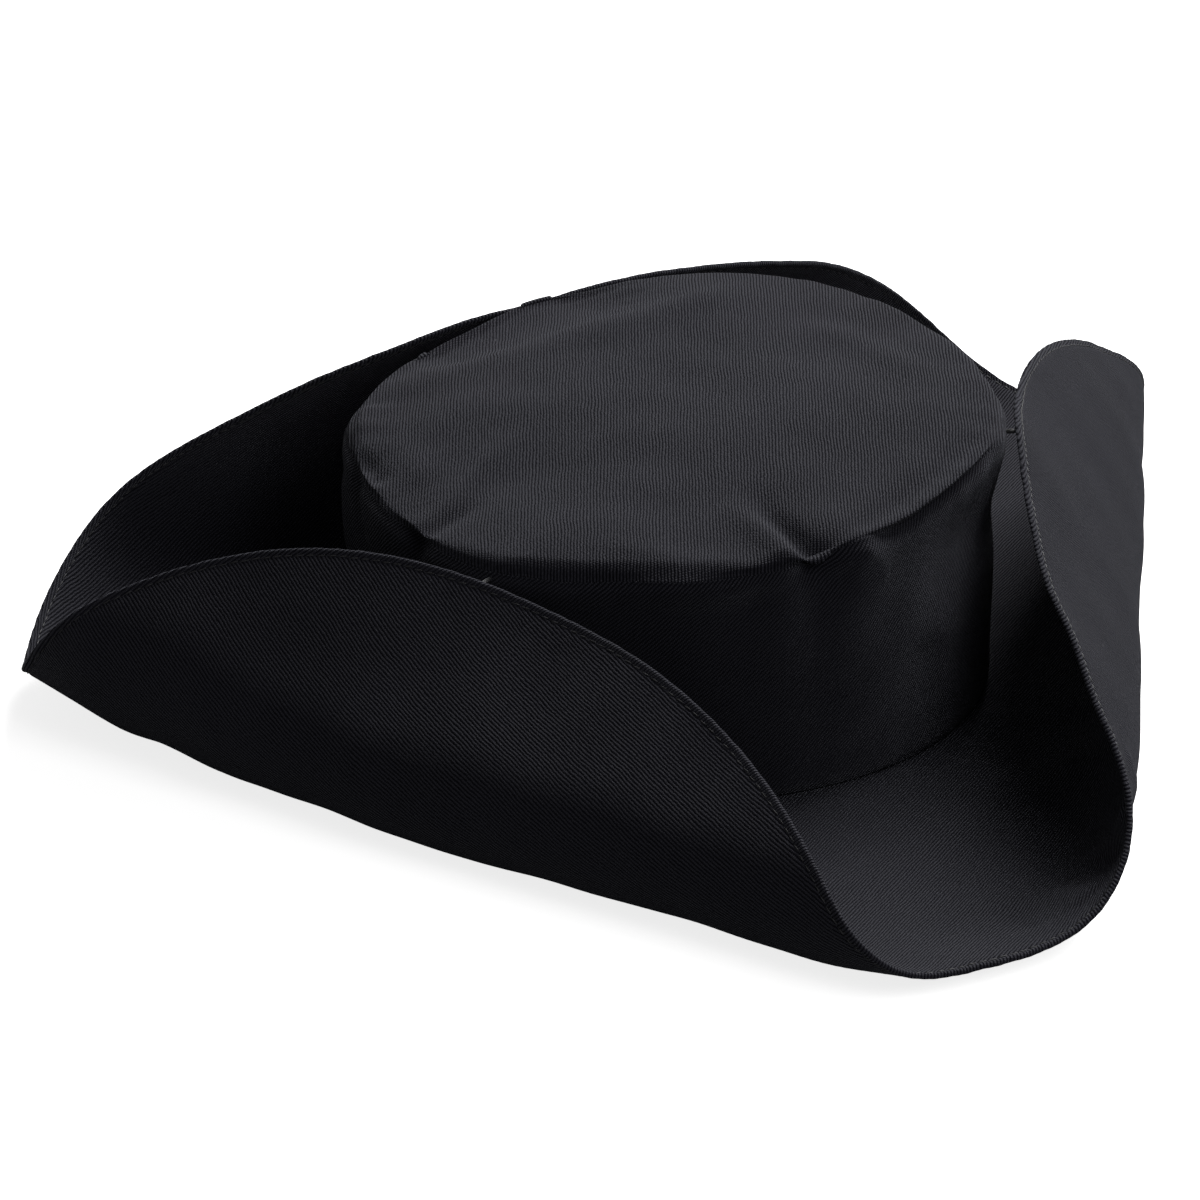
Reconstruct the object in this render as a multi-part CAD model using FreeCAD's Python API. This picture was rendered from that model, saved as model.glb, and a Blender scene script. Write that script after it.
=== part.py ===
"""Three-cornered pirate hat: a soft cloth crown and a wide brim folded up on three sides.

Millimetres, +Z up.  The origin is the centre of the sweatband's lower edge, which lies on the
ground plane.  The front corner points along -Y, the wearer's left is +X, and the widest flap
stands up at the back along +Y.
"""
import FreeCAD
import Part
import math
import os

# ------------------------------------------------------------------ driving dimensions
CROWN_HALF_WIDTH = 95.0       # outside of the crown at its base, across
CROWN_HALF_LENGTH = 94.0      # outside of the crown at its base, front to back
CROWN_HEIGHT = 82.5           # mean height of the tip seam over the ground
CROWN_TILT = 10.0             # the tip seam is this much higher at its high side
CROWN_HIGH_SIDE = -82.0       # azimuth of the high side, degrees
TIP_DOME = 6.0                # the tip's middle stands this much over its seam
BRIM_HALF_LENGTH = 226.2      # flat cut of the brim, front to back
BRIM_HALF_WIDTH = 196.2       # flat cut of the brim, across
BRIM_CENTRE = (-13.9, -5.4)   # middle of the flat brim from the middle of the crown
CLOTH = 0.6                   # outer twill
BRIM_STIFFENER = 1.0          # interlining of the brim
CROWN_STIFFENER = 0.8         # interlining of the crown
LINING = 0.3                  # thin lining cloth
HEM_RADIUS = 1.4              # half thickness of the turned and stitched hem
SWEATBAND = 1.2               # folded headband
SWEATBAND_HEIGHT = 32.0
TACK_RADIUS = 1.3             # bundle of thread that holds a flap to the crown
TACK_BELOW_SEAM = 4.0         # a tack is sewn at least this much below the tip seam

# ------------------------------------------------------------------ named clearances
PLY_GAP = 0.15                # between one layer of cloth and the next
SEAM_GAP = 0.2                # between pieces that are sewn edge to edge
FOOT_GAP = 0.3                # from the brim to the crown wall that stands on it
BAND_GAP = 0.9                # from the brim's inner edge to the sweatband
TACK_GAP = 0.35               # from the end of a thread tack to the cloth it holds
BAND_DROP = 0.35              # the brim's underside is this much over the sweatband's edge

# Each fold turns the flat brim up about a straight chord.  Azimuth of the flap, distance of the
# chord outside the crown's base (below 0 it starts under the crown), length over which the cloth
# curls, and the whole turn in degrees.
FLAPS = (
    ("back", 88.9, 25.6, 61.3, 138.2),
    ("right", -153.0, 10.8, 70.3, 129.8),
    ("left", -24.0, -29.3, 112.8, 127.5),
)
# The two rear corners rise a little in the same way.
CORNERS = (
    ("rear_left", 46.2, 17.0, 70.0, 17.8),
    ("rear_right", 159.0, 41.2, 70.0, 7.0),
)
# Where the crown's top is pulled out by a tack or pressed flat: azimuth, spread, movement.
CROWN_PULLS = (
    (-13.0, 28.0, -8.0),
    (-153.0, 16.0, 3.0),
    (90.0, 18.0, 5.0),
)

# ------------------------------------------------------------------ fitted sizes
BRIM_STACK = CLOTH + PLY_GAP + BRIM_STIFFENER + PLY_GAP + CLOTH
BRIM_MIDDLE_Z = BAND_DROP + BRIM_STACK / 2.0
CROWN_STACK = CLOTH + PLY_GAP + CROWN_STIFFENER + PLY_GAP + LINING
BAND_INSET = CROWN_STACK + 2.0 * PLY_GAP
BRIM_INNER_INSET = BAND_INSET - BAND_GAP
BRIM_EDGE_INSET = 2.0 * HEM_RADIUS + SEAM_GAP

AROUND = 144                  # poles around each ring
RADIAL = 34                   # rows of poles across the brim
WALL_ROWS = 14
BAND_ROWS = 6
TIP_ROWS = 14
HEM_SIDES = 12                # flats around the hem's section
CURL_STEP = 0.5
CURL_REACH = 240.0
FRAME_STEP = 1e-3             # small step along the brim that gives its directions
TACK_SEARCH = 60              # a tack is looked for this many steps each side of its flap's middle
TACK_SEARCH_STEP = 0.5        # degrees


def smooth(value):
    """Rise from 0 to 1 with level ends."""
    value = min(max(value, 0.0), 1.0)
    return value * value * (3.0 - 2.0 * value)


def curl_table(length, turn_deg):
    """Tabulate how far a curled strip reaches out and up for each distance along it."""
    turn = math.radians(turn_deg)
    steps = int(CURL_REACH / CURL_STEP)
    out = [0.0]
    up = [0.0]
    for i in range(steps):
        middle = (i + 0.5) * CURL_STEP
        angle = turn * smooth(middle / length)
        out.append(out[-1] + math.cos(angle) * CURL_STEP)
        up.append(up[-1] + math.sin(angle) * CURL_STEP)
    return out, up


def read_table(table, distance):
    """Straight-line reading of a table of values spaced CURL_STEP apart."""
    place = distance / CURL_STEP
    index = min(int(place), len(table) - 2)
    share = place - index
    return table[index] * (1.0 - share) + table[index + 1] * share


def crown_edge(direction):
    """Distance from the brim's middle to the line that touches the crown's base across a direction."""
    reach = math.hypot(CROWN_HALF_WIDTH * direction[0], CROWN_HALF_LENGTH * direction[1])
    return reach - BRIM_CENTRE[0] * direction[0] - BRIM_CENTRE[1] * direction[1]


FOLDS = []
for _name, _azimuth, _outside, _length, _turn in FLAPS + CORNERS:
    _out, _up = curl_table(_length, _turn)
    _direction = (math.cos(math.radians(_azimuth)), math.sin(math.radians(_azimuth)))
    FOLDS.append((_direction, crown_edge(_direction) + _outside, _out, _up))


def fold_point(x, y):
    """Move a point of the flat brim to its place on the folded middle surface."""
    from_x = x - BRIM_CENTRE[0]
    from_y = y - BRIM_CENTRE[1]
    z = BRIM_MIDDLE_Z
    for direction, chord, out, up in FOLDS:
        past = from_x * direction[0] + from_y * direction[1] - chord
        if past > 0.0:
            shift = read_table(out, past) - past
            x += shift * direction[0]
            y += shift * direction[1]
            z += read_table(up, past)
    return (x, y, z)


def oval(angle, half_x, half_y):
    """Radius of an oval at an angle."""
    return 1.0 / math.sqrt((math.cos(angle) / half_x) ** 2 + (math.sin(angle) / half_y) ** 2)


def flat_point(angle, share, inset_in, inset_out):
    """Point of the flat brim: share 0 at the crown seam and 1 at the hem."""
    inner = oval(angle, CROWN_HALF_WIDTH, CROWN_HALF_LENGTH) - inset_in
    outer = oval(angle, BRIM_HALF_WIDTH, BRIM_HALF_LENGTH) - inset_out
    in_x = inner * math.cos(angle)
    in_y = inner * math.sin(angle)
    out_x = BRIM_CENTRE[0] + outer * math.cos(angle)
    out_y = BRIM_CENTRE[1] + outer * math.sin(angle)
    return in_x + (out_x - in_x) * share, in_y + (out_y - in_y) * share


def brim_frame(angle, share):
    """Point, outward direction and upward normal of the brim's middle surface."""

    def at(turn, part):
        """Point of the middle surface between the insets of the brim's own cloths."""
        return FreeCAD.Vector(*fold_point(*flat_point(turn, part, BRIM_INNER_INSET, BRIM_EDGE_INSET)))

    here = at(angle, share)
    outward = at(angle, share + FRAME_STEP) - at(angle, share - FRAME_STEP)
    along = at(angle + FRAME_STEP, share) - at(angle - FRAME_STEP, share)
    normal = outward.cross(along)
    normal.normalize()
    side = along.cross(normal)
    side.normalize()
    return here, side, normal


def crown_height(angle, share):
    """Height of the crown's outside on the tip, share 0 in the middle and 1 at the tip seam."""
    lean = CROWN_TILT * share * math.cos(angle - math.radians(CROWN_HIGH_SIDE))
    return CROWN_HEIGHT + lean + TIP_DOME * (1.0 - share ** 2.5)


def crown_radius(angle, z):
    """Radius of the crown's outside at a height."""
    foot = BRIM_MIDDLE_Z
    rise = smooth((z - foot) / (crown_height(angle, 1.0) - foot))
    radius = oval(angle, CROWN_HALF_WIDTH, CROWN_HALF_LENGTH)
    for azimuth, spread, movement in CROWN_PULLS:
        turn = (angle - math.radians(azimuth) + math.pi) % (2.0 * math.pi) - math.pi
        radius += rise * movement * math.exp(-((turn / math.radians(spread)) ** 2))
    return radius


def sharpen(rows, wrap):
    """Move poles so that a cubic surface passes close to the points they came from."""
    result = []
    count = len(rows)
    for j, row in enumerate(rows):
        if not wrap and (j == 0 or j == count - 1):
            result.append(list(row))
            continue
        before = rows[(j - 1) % count]
        after = rows[(j + 1) % count]
        new_row = []
        for i, point in enumerate(row):
            bend = before[i] + after[i] - point * 2.0
            new_row.append(point - bend * (1.0 / 6.0))
        result.append(new_row)
    return result


def turned(rows):
    """Swap rows and columns."""
    return [list(column) for column in zip(*rows)]


def clamped_knots(count, degree):
    """Knots and multiplicities of an open spline direction."""
    spans = count - degree
    knots = [float(i) for i in range(spans + 1)]
    mults = [1] * (spans + 1)
    mults[0] = degree + 1
    mults[-1] = degree + 1
    return knots, mults


def ring_face(rows):
    """Face through closed rings of poles; two rings make a ruled face."""
    count = len(rows[0])
    degree_v = 3 if len(rows) > 3 else 1
    u_knots = [float(i) for i in range(count + 1)]
    u_mults = [1] * (count + 1)
    v_knots, v_mults = clamped_knots(len(rows), degree_v)
    surface = Part.BSplineSurface()
    poles = turned(rows)
    surface.buildFromPolesMultsKnots(poles, u_mults, v_mults, u_knots, v_knots, True, False, 3, degree_v)
    return surface.toShape()


def sewn_solid(faces, name):
    """Closed solid from faces that share their edges."""
    shell = Part.makeShell(faces)
    shell.sewShape()
    solid = Part.Solid(shell)
    if solid.Volume < 0.0:
        solid.reverse()
    if not solid.isValid():
        solid.fix(1e-4, 1e-4, 1e-4)
    print(name, "valid", solid.isValid(), "closed", solid.isClosed(), "volume", round(solid.Volume, 1))
    return solid


def poles_of(points):
    """Poles for a ring surface from its points."""
    around = turned(sharpen(turned(points), True))
    return sharpen(around, False)


def layer_solid(name, upper, lower):
    """Solid between two ring surfaces given as rows of points from the inner edge outwards."""
    top = poles_of(upper)
    bottom = poles_of(lower)
    faces = [
        ring_face(top),
        ring_face(bottom),
        ring_face([top[0], bottom[0]]),
        ring_face([top[-1], bottom[-1]]),
    ]
    return sewn_solid(faces, name)


def angles():
    """Equal angles around the hat."""
    return [2.0 * math.pi * i / AROUND for i in range(AROUND)]


def brim_layer(name, high, low):
    """One layer of the brim between two distances from its middle surface."""
    upper = []
    lower = []
    for j in range(RADIAL):
        share = j / (RADIAL - 1.0)
        upper_row = []
        lower_row = []
        for angle in angles():
            point, _side, normal = brim_frame(angle, share)
            upper_row.append(point + normal * high)
            lower_row.append(point + normal * low)
        upper.append(upper_row)
        lower.append(lower_row)
    return layer_solid(name, upper, lower)


def hem_centre(angle):
    """Middle of the turned hem, with the outward direction and the normal there."""
    point, side, normal = brim_frame(angle, 1.0)
    return point + side * (SEAM_GAP + HEM_RADIUS), side, normal


def hem_row(turn):
    """Ring of points along one corner of the hem's section, at a turn around its middle."""
    row = []
    for angle in angles():
        centre, side, normal = hem_centre(angle)
        row.append(centre + side * (HEM_RADIUS * math.cos(turn)) + normal * (HEM_RADIUS * math.sin(turn)))
    return row


def brim_hem():
    """Turned hem all round the brim, a closed ring whose nearly round section has flat sides."""
    rows = [hem_row(2.0 * math.pi * j / HEM_SIDES) for j in range(HEM_SIDES)]
    poles = turned(sharpen(turned(rows), True))
    faces = [ring_face([poles[j - 1], poles[j]]) for j in range(HEM_SIDES)]
    return sewn_solid(faces, "brim_hem")


def wall_point(angle, z, inset):
    """Point on the crown wall at a height, moved in from its outside."""
    radius = crown_radius(angle, z) - inset
    return FreeCAD.Vector(radius * math.cos(angle), radius * math.sin(angle), z)


def wall_foot(angle):
    """Height of the foot of the crown wall, clear of the brim under its outside."""
    x, y = flat_point(angle, 0.0, 0.0, 0.0)
    return fold_point(x, y)[2] + BRIM_STACK / 2.0 + FOOT_GAP


def crown_wall(name, inset, thick):
    """One layer of the crown's side, from the brim up to the underside of its own tip."""
    outer = []
    inner = []
    for j in range(WALL_ROWS):
        share = j / (WALL_ROWS - 1.0)
        outer_row = []
        inner_row = []
        for angle in angles():
            foot = wall_foot(angle)
            top = crown_height(angle, 1.0) - inset - thick - PLY_GAP
            z = foot + (top - foot) * share
            outer_row.append(wall_point(angle, z, inset))
            inner_row.append(wall_point(angle, z, inset + thick))
        outer.append(outer_row)
        inner.append(inner_row)
    return layer_solid(name, outer, inner)


def tip_point(angle, share, drop, inset):
    """Point on the tip, lowered by drop, with its edge moved in from the outside."""
    edge_z = crown_height(angle, 1.0)
    radius = (crown_radius(angle, edge_z) - inset) * share
    z = crown_height(angle, share) - drop
    return FreeCAD.Vector(radius * math.cos(angle), radius * math.sin(angle), z)


def crown_tip(name, inset, thick):
    """One layer of the crown's flat top, lying on its own wall."""
    upper = []
    lower = []
    for j in range(TIP_ROWS):
        share = j / (TIP_ROWS - 1.0)
        upper.append([tip_point(angle, share, inset, inset) for angle in angles()])
        lower.append([tip_point(angle, share, inset + thick, inset) for angle in angles()])
    top = poles_of(upper)
    bottom = poles_of(lower)
    faces = [ring_face(top), ring_face(bottom), ring_face([top[-1], bottom[-1]])]
    return sewn_solid(faces, name)


def sweatband():
    """Headband inside the crown, with a flat lower edge on the ground plane."""
    outer = []
    inner = []
    for j in range(BAND_ROWS):
        z = SWEATBAND_HEIGHT * j / (BAND_ROWS - 1.0)
        outer.append([wall_point(angle, z, BAND_INSET) for angle in angles()])
        inner.append([wall_point(angle, z, BAND_INSET + SWEATBAND) for angle in angles()])
    out_poles = poles_of(outer)
    in_poles = poles_of(inner)
    faces = [ring_face(out_poles), ring_face(in_poles)]
    knots = [float(i) for i in range(AROUND + 1)]
    mults = [1] * (AROUND + 1)
    for row in (0, -1):
        ring = Part.BSplineCurve()
        hole = Part.BSplineCurve()
        ring.buildFromPolesMultsKnots(out_poles[row], mults, knots, True, 3)
        hole.buildFromPolesMultsKnots(in_poles[row], mults, knots, True, 3)
        wires = [Part.Wire(ring.toShape()), Part.Wire(hole.toShape())]
        faces.append(Part.Face(wires))
    return sewn_solid(faces, "sweatband")


def thread_tack(name, azimuth_deg):
    """Thread that joins the hem of one flap to the crown where they come closest."""
    best = None
    for step in range(-TACK_SEARCH, TACK_SEARCH + 1):
        angle = math.radians(azimuth_deg + step * TACK_SEARCH_STEP)
        centre, _side, _normal = hem_centre(angle)
        turn = math.atan2(centre.y, centre.x)
        z = min(centre.z, crown_height(turn, 1.0) - TACK_BELOW_SEAM)
        wall = wall_point(turn, z, 0.0)
        gap = (centre - wall).Length
        if best is None or gap < best[0]:
            best = (gap, centre, wall)
    gap, centre, wall = best
    direction = centre - wall
    direction.normalize()
    start = wall + direction * TACK_GAP
    length = gap - HEM_RADIUS - 2.0 * TACK_GAP
    print(name, "gap", round(gap, 2), "tack length", round(length, 2), "at", centre)
    return Part.makeCylinder(TACK_RADIUS, length, start, direction)


def main():
    """Build and export every piece."""
    os.makedirs("parts", exist_ok=True)
    half = BRIM_STACK / 2.0
    parts = {
        "brim_upper_cloth": brim_layer("brim_upper_cloth", half, half - CLOTH),
        "brim_interlining": brim_layer("brim_interlining", BRIM_STIFFENER / 2.0, -BRIM_STIFFENER / 2.0),
        "brim_under_cloth": brim_layer("brim_under_cloth", CLOTH - half, -half),
        "brim_hem": brim_hem(),
        "sweatband": sweatband(),
    }
    inset = 0.0
    for layer, thick in (("shell", CLOTH), ("interlining", CROWN_STIFFENER), ("lining", LINING)):
        parts["crown_side_" + layer] = crown_wall("crown_side_" + layer, inset, thick)
        parts["crown_tip_" + layer] = crown_tip("crown_tip_" + layer, inset, thick)
        inset += thick + PLY_GAP
    for name, azimuth, _outside, _length, _turn in FLAPS:
        parts["tack_" + name] = thread_tack("tack_" + name, azimuth)
    for name, shape in parts.items():
        shape.exportStep("parts/" + name + ".step")
        box = shape.BoundBox
        print(name, round(box.XLength, 1), round(box.YLength, 1), round(box.ZMin, 2), round(box.ZMax, 2))


main()
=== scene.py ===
"""Looks of a soft three-cornered pirate hat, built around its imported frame.

Sizes in the classes are millimetres and degrees, and put_mesh writes every mesh in metres. The
hat stands on z = 0 with its front corner along -Y, the wearer's left along +X and its widest
flap up at the back along +Y.
"""

import logging
import math
from dataclasses import dataclass, field
from enum import Enum

import bpy
import numpy as np
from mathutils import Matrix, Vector

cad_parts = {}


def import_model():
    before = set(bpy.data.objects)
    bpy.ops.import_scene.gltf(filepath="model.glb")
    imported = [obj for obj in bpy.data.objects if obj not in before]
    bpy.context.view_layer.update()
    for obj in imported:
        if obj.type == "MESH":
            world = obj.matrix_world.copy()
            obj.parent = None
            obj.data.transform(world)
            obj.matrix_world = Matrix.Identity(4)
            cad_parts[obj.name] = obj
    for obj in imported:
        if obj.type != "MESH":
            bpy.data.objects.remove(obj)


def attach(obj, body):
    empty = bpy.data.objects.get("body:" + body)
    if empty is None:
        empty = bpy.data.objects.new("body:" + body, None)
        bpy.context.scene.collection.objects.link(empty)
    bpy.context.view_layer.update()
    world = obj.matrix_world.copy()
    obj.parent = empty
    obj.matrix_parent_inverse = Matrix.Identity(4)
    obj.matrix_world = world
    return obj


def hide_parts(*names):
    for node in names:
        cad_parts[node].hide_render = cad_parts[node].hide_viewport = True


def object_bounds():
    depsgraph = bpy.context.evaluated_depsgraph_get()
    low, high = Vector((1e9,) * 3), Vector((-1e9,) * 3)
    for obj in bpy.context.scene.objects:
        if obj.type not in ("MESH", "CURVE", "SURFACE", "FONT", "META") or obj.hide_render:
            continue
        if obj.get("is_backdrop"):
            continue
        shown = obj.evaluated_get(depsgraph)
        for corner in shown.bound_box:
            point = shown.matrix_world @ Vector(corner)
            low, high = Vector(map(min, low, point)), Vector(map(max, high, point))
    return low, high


MM = 0.001
WEAVE_UV = "weave"
RIDGE = "ridge"
CURL_STEP = 0.25                      # length of cloth in one step of a curl's running sums
CURL_REACH = 260.0                    # length of cloth that a curl's sums cover
LOG = logging.getLogger("pirate_hat")

Array = np.ndarray


class Slot(Enum):
    """Material slots that the hat's finishes are sorted by."""

    TWILL = "twill"
    HEM = "hem"
    LINING = "lining"
    BAND = "band"
    THREAD = "thread"


class Side(Enum):
    """The two faces of the brim, as the sign of their distance from its middle surface."""

    UPPER = 1.0
    UNDER = -1.0


# ---------------------------------------------------------------------------- shape helpers
def smooth(value: Array) -> Array:
    """Rise from 0 to 1 with level ends, three times the square less twice the cube."""
    value = np.clip(value, 0.0, 1.0)
    return value * value * (3.0 - 2.0 * value)


def bell(distance: Array, width: float) -> Array:
    """One at no distance, dying away as a Gaussian of that width."""
    return np.exp(-((distance / width) ** 2))


def turn_between(angle: Array, azimuth: float) -> Array:
    """Signed angle in degrees from an azimuth in degrees to angles in radians."""
    return (np.degrees(angle) - azimuth + 180.0) % 360.0 - 180.0


def oval(angle: Array, half_x: float, half_y: float) -> Array:
    """Radius of an oval at an angle: one over the root of its two squared shares."""
    return 1.0 / np.sqrt((np.cos(angle) / half_x) ** 2 + (np.sin(angle) / half_y) ** 2)


def unit(vectors: Array) -> Array:
    """Vectors along the last axis at length one."""
    return vectors / np.linalg.norm(vectors, axis=-1, keepdims=True)


def soft_noise(x: Array, y: Array, wavelength: float, seed: int, waves: int = 14) -> Array:
    """Smooth random unevenness: a sum of cosine waves with random headings and phases.

    Args:
        x: First coordinate of each place.
        y: Second coordinate of each place.
        wavelength: Mean length of the waves, in the units of x and y.
        seed: Seed of the headings, lengths and phases.
        waves: Number of waves in the sum.

    Returns:
        Values around 0 with a spread of about 1.
    """
    random = np.random.default_rng(seed)
    heading = random.uniform(0.0, 2.0 * np.pi, waves)
    number = 2.0 * np.pi / (wavelength * random.uniform(0.7, 1.5, waves))
    phase = random.uniform(0.0, 2.0 * np.pi, waves)
    total = np.zeros(np.broadcast(x, y).shape)
    for turn, rate, start in zip(heading, number, phase):
        total += np.cos(rate * (x * np.cos(turn) + y * np.sin(turn)) + start)
    return total * math.sqrt(2.0 / waves)


def ring_noise(angle: Array, lowest: int, highest: int, seed: int) -> Array:
    """Random unevenness round a ring: whole numbers of waves from lowest to highest."""
    random = np.random.default_rng(seed)
    total = np.zeros(angle.shape)
    for count in range(lowest, highest + 1):
        total += random.normal() * np.cos(count * angle + random.uniform(0.0, 2.0 * np.pi))
    return total / math.sqrt(0.5 * (highest - lowest + 1))


def weave_uv(x: Array, y: Array, heading: float) -> Array:
    """Cloth coordinates in metres, across and along ribs that run at a heading in degrees."""
    turn = math.radians(heading)
    across = y * math.cos(turn) - x * math.sin(turn)
    along = x * math.cos(turn) + y * math.sin(turn)
    return np.stack([across, along], axis=-1) * MM


# ---------------------------------------------------------------------------- mesh helpers
def put_mesh(name: str, points: Array, faces: list[Array], uvs: list[Array]) -> bpy.types.Object:
    """Make a smooth mesh object at the origin.

    Args:
        name: Name of the piece.
        points: Corners in millimetres, shape (n, 3).
        faces: Arrays of corner numbers, one array for each number of sides.
        uvs: Cloth coordinates of the faces' corners, shaped as the arrays of faces.

    Returns:
        The new object, with its place in its mesh.
    """
    mesh = bpy.data.meshes.new(name)
    corners = np.concatenate([group.ravel() for group in faces]).astype(np.int32)
    sizes = np.concatenate([np.full(len(group), group.shape[1]) for group in faces])
    starts = np.concatenate([[0], np.cumsum(sizes)[:-1]]).astype(np.int32)
    mesh.vertices.add(len(points))
    mesh.vertices.foreach_set("co", (points * MM).astype(np.float32).ravel())
    mesh.loops.add(len(corners))
    mesh.loops.foreach_set("vertex_index", corners)
    mesh.polygons.add(len(sizes))
    mesh.polygons.foreach_set("loop_start", starts)
    mesh.update(calc_edges=True)
    layer = mesh.uv_layers.new(name=WEAVE_UV)
    flat = np.concatenate([group.reshape(-1, 2) for group in uvs]).astype(np.float32)
    layer.data.foreach_set("uv", flat.ravel())
    mesh.polygons.foreach_set("use_smooth", np.ones(len(sizes), bool))
    mesh.validate()
    piece = bpy.data.objects.new(name, mesh)
    bpy.context.scene.collection.objects.link(piece)
    return piece


def ring_piece(name: str, points: Array, uv: Array, flip: bool = False,
               closed: bool = False, hub: Array | None = None) -> bpy.types.Object:
    """Mesh over a grid whose columns run round the hat and close on themselves.

    Args:
        name: Name of the piece.
        points: Grid of places in millimetres, shape (rows, columns, 3).
        uv: Cloth coordinates, with one more column than points and, if closed, one more row.
        flip: Turn the faces over. Unflipped, rows outwards and columns to the left face up.
        closed: Join the last row to the first.
        hub: A middle point that closes the first row with a fan.

    Returns:
        The new object.
    """
    rows, columns = points.shape[:2]
    last = rows if closed else rows - 1
    row, column = np.meshgrid(np.arange(last), np.arange(columns), indexing="ij")
    beyond, beside = (row + 1) % rows, (column + 1) % columns
    quads = np.stack([row * columns + column, beyond * columns + column,
                      beyond * columns + beside, row * columns + beside], axis=-1).reshape(-1, 4)
    corner_uv = np.stack([uv[row, column], uv[row + 1, column],
                          uv[row + 1, column + 1], uv[row, column + 1]], axis=-2).reshape(-1, 4, 2)
    corners, faces, uvs = points.reshape(-1, 3), [quads], [corner_uv]
    if hub is not None:
        around = np.arange(columns)
        fan = np.stack([np.full(columns, len(corners)), around, (around + 1) % columns], axis=-1)
        middle = np.broadcast_to(uv[0].mean(axis=0), (columns, 2))
        faces.append(fan)
        uvs.append(np.stack([middle, uv[0, :-1], uv[0, 1:]], axis=-2))
        corners = np.concatenate([corners, hub[None]])
    if flip:
        faces = [group[:, ::-1] for group in faces]
        uvs = [group[:, ::-1] for group in uvs]
    return put_mesh(name, corners, faces, uvs)


def grain(length: float, radius: float, sides: int = 6) -> tuple[Array, Array]:
    """One stitch lying along its first axis: a rounded grain, thickest in the middle.

    Args:
        length: Length over its ends.
        radius: Radius in the middle.
        sides: Number of corners round it.

    Returns:
        Corners (n, 3) and faces (m, 4), with its ends drawn to points.
    """
    share = np.array([-1.0, -0.86, -0.4, 0.4, 0.86, 1.0])
    thick = radius * np.array([0.02, 0.62, 1.0, 1.0, 0.62, 0.02])
    turn = 2.0 * np.pi * np.arange(sides) / sides
    ring = np.stack([np.zeros(sides), np.cos(turn), np.sin(turn)], axis=-1)
    corners = ring[None] * thick[:, None, None]
    corners[:, :, 0] = share[:, None] * length / 2.0
    row, side = np.meshgrid(np.arange(len(share) - 1), np.arange(sides), indexing="ij")
    after = (side + 1) % sides
    faces = np.stack([row * sides + side, row * sides + after,
                      (row + 1) * sides + after, (row + 1) * sides + side], axis=-1)
    return corners.reshape(-1, 3), faces.reshape(-1, 4)


def stitch_row(name: str, centre: Array, along: Array, normal: Array,
               length: float, radius: float) -> bpy.types.Object:
    """A row of stitches as one mesh, each a small grain set in its own frame.

    Args:
        name: Name of the piece.
        centre: Middle of each stitch, shape (n, 3).
        along: Direction of each stitch.
        normal: Outward direction of the cloth at each stitch.
        length: Length of a stitch.
        radius: Radius of the thread.

    Returns:
        The new object.
    """
    corners, faces = grain(length, radius)
    side = unit(np.cross(normal, along))
    basis = np.stack([unit(along), side, np.cross(unit(along), side)], axis=1)
    places = centre[:, None, :] + np.einsum("kc,ncx->nkx", corners, basis)
    numbers = faces[None] + np.arange(len(centre))[:, None, None] * len(corners)
    numbers = numbers.reshape(-1, 4)
    own = corners[faces][:, :, :2] * MM
    uv = np.broadcast_to(own[None], (len(centre),) + own.shape).reshape(-1, 4, 2)
    return put_mesh(name, places.reshape(-1, 3), [numbers], [uv])


def strand_mesh(name: str, paths: Array, radius: float, sides: int = 8) -> bpy.types.Object:
    """Round threads along open paths, as one mesh with closed ends.

    Args:
        name: Name of the piece.
        paths: Points of each thread, shape (threads, points, 3).
        radius: Radius of a thread; its end rings shrink to close it.
        sides: Number of corners round a thread.

    Returns:
        The new object.
    """
    threads, count = paths.shape[:2]
    tangent = unit(np.gradient(paths, axis=1))
    first = unit(np.cross(tangent, np.array([0.21, 0.34, 0.92])))
    second = np.cross(tangent, first)
    turn = 2.0 * np.pi * np.arange(sides) / sides
    thick = np.full(count, radius)
    thick[[0, -1]] = radius * 0.05
    ring = (first[:, :, None, :] * np.cos(turn)[None, None, :, None]
            + second[:, :, None, :] * np.sin(turn)[None, None, :, None])
    places = paths[:, :, None, :] + ring * thick[None, :, None, None]
    thread, row, side = np.meshgrid(np.arange(threads), np.arange(count - 1), np.arange(sides), indexing="ij")
    base, after = thread * count * sides, (side + 1) % sides
    faces = np.stack([base + row * sides + side, base + row * sides + after,
                      base + (row + 1) * sides + after, base + (row + 1) * sides + side], axis=-1)
    faces = faces.reshape(-1, 4)
    uv = np.zeros((len(faces), 4, 2))
    return put_mesh(name, places.reshape(-1, 3), [faces], [uv])


def thicken(piece: bpy.types.Object, thickness: float) -> None:
    """Give a sheet its thickness behind its outer face."""
    wall = piece.modifiers.new("cloth", "SOLIDIFY")
    wall.thickness = thickness * MM
    wall.offset = -1.0
    wall.use_even_offset = False


def set_ridge(piece: bpy.types.Object, values: Array) -> None:
    """Store how proud each corner stands, from 0 to 1, for wear along edges."""
    layer = piece.data.attributes.new(RIDGE, "FLOAT", "POINT")
    layer.data.foreach_set("value", values.astype(np.float32).ravel())


def hand_over(piece: bpy.types.Object, slot: Slot, nodes: tuple[str, ...] = ()) -> None:
    """Ride a piece on the hat's only body, log its slot and hide the CAD nodes it stands for."""
    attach(piece, "root")
    if nodes:
        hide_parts(*nodes)
    LOG.info("%s: %d corners, slot %s", piece.name, len(piece.data.vertices), slot.value)


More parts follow.
